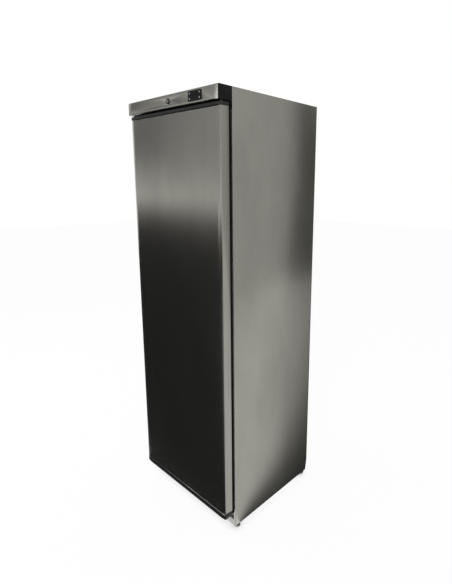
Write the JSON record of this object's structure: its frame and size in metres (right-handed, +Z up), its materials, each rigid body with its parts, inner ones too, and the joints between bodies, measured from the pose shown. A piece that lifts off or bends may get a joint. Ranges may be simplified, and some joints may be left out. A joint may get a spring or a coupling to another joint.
{
  "type": "upright freezer",
  "caption": "Free-standing single-door upright storage freezer in brushed stainless steel with a digital control fascia, key lock, coil shelves and a compressor in a rear recess.",
  "frame": {"origin": "middle of the floor area under the freezer, at floor level", "axes": "+Z up, the door faces -Y, +X is the door's hinge side"},
  "size_m": [0.6, 0.5928, 1.855],
  "materials": {
    "stainless": "brushed, satin",
    "galvanised": "galvanised sheet steel",
    "zinc_plated": "zinc plated steel",
    "liner": "white moulded plastic, satin",
    "foam": "rigid insulating foam",
    "black_plastic": "moulded, satin",
    "dark_grey_plastic": "moulded, satin",
    "black_steel": "black paint",
    "gasket": "soft magnetic gasket",
    "mount_rubber": "black rubber",
    "nylon": "natural nylon",
    "coated_tube": "white coated steel tube and wire",
    "copper": "copper tube",
    "bright_steel": "bright plated",
    "window": "dark window",
    "key_grey": "moulded keys"
  },
  "bodies": {
    "cabinet": {"side_panel_left": "stainless", "side_panel_right": "stainless", "top_panel": "stainless", "back_panel": "galvanised", "bottom_panel": "galvanised", "foam_body": "foam", "inner_liner": "liner", "front_frame": "black_steel", "plinth": "stainless", "fascia_panel": "stainless", "fascia_cap_left": "black_plastic", "fascia_cap_right": "black_plastic", "controller_housing": "black_plastic", "controller_window": "window", "lock_housing": "black_plastic", "hinge_top": "zinc_plated", "hinge_bottom": "zinc_plated", "evaporator_shelf_1": "coated_tube", "evaporator_shelf_2": "coated_tube", "evaporator_shelf_3": "coated_tube", "evaporator_shelf_4": "coated_tube", "evaporator_shelf_5": "coated_tube", "evaporator_shelf_6": "coated_tube", "probe_clip": "liner", "temperature_probe": "bright_steel", "condenser": "black_steel", "base_rail_left": "galvanised", "base_rail_right": "galvanised", "compressor_tray": "galvanised", "cord_gland": "black_plastic", "compressor": "black_steel", "compressor_mount_1": "mount_rubber", "compressor_mount_2": "mount_rubber", "compressor_mount_3": "mount_rubber", "compressor_mount_4": "mount_rubber", "relay_cover": "black_plastic", "filter_drier": "copper", "discharge_line": "copper", "suction_line": "copper", "liquid_line": "copper", "capillary": "copper"},
    "door": {"door_skin": "stainless", "door_trim_top": "dark_grey_plastic", "door_trim_bottom": "dark_grey_plastic", "door_foam": "foam", "door_liner": "liner", "door_gasket": "gasket", "grip_cup": "black_plastic", "hinge_bush_top": "nylon", "hinge_bush_bottom": "nylon"},
    "lock": {"lock_cylinder": "bright_steel", "lock_cam": "zinc_plated"},
    "button_1": {"controller_button_1": "key_grey"},
    "button_2": {"controller_button_2": "key_grey"},
    "button_3": {"controller_button_3": "key_grey"},
    "button_4": {"controller_button_4": "key_grey"},
    "foot_left": {"levelling_foot_left": "nylon"},
    "foot_right": {"levelling_foot_right": "nylon"},
    "roller_left": {"rear_roller_left": "nylon"},
    "roller_right": {"rear_roller_right": "nylon"}
  },
  "joints": [
    {"name": "door_hinge", "type": "hinge", "parent": "cabinet", "child": "door", "pos_m": [0.2805, -0.26255, 0.9], "axis": [0, 0, 1], "range_deg": [0, 110]},
    {"name": "lock_turn", "type": "hinge", "parent": "cabinet", "child": "lock", "pos_m": [0, -0.29345, 1.8295], "axis": [0, -1, 0], "range_deg": [0, 90]},
    {"name": "button_1_press", "type": "slide", "parent": "cabinet", "child": "button_1", "axis": [0, 1, 0], "range_m": [0, 0.0006], "stiffness_N_per_m": 1500},
    {"name": "button_2_press", "type": "slide", "parent": "cabinet", "child": "button_2", "axis": [0, 1, 0], "range_m": [0, 0.0006], "stiffness_N_per_m": 1500},
    {"name": "button_3_press", "type": "slide", "parent": "cabinet", "child": "button_3", "axis": [0, 1, 0], "range_m": [0, 0.0006], "stiffness_N_per_m": 1500},
    {"name": "button_4_press", "type": "slide", "parent": "cabinet", "child": "button_4", "axis": [0, 1, 0], "range_m": [0, 0.0006], "stiffness_N_per_m": 1500},
    {"name": "foot_left_adjust", "type": "slide", "parent": "cabinet", "child": "foot_left", "axis": [0, 0, -1], "range_m": [0, 0.012]},
    {"name": "foot_right_adjust", "type": "slide", "parent": "cabinet", "child": "foot_right", "axis": [0, 0, -1], "range_m": [0, 0.012]},
    {"name": "roller_left_spin", "type": "hinge", "parent": "cabinet", "child": "roller_left", "pos_m": [-0.28, 0.26045, 0.016], "axis": [1, 0, 0], "continuous": true},
    {"name": "roller_right_spin", "type": "hinge", "parent": "cabinet", "child": "roller_right", "pos_m": [0.28, 0.26045, 0.016], "axis": [1, 0, 0], "continuous": true}
  ]
}
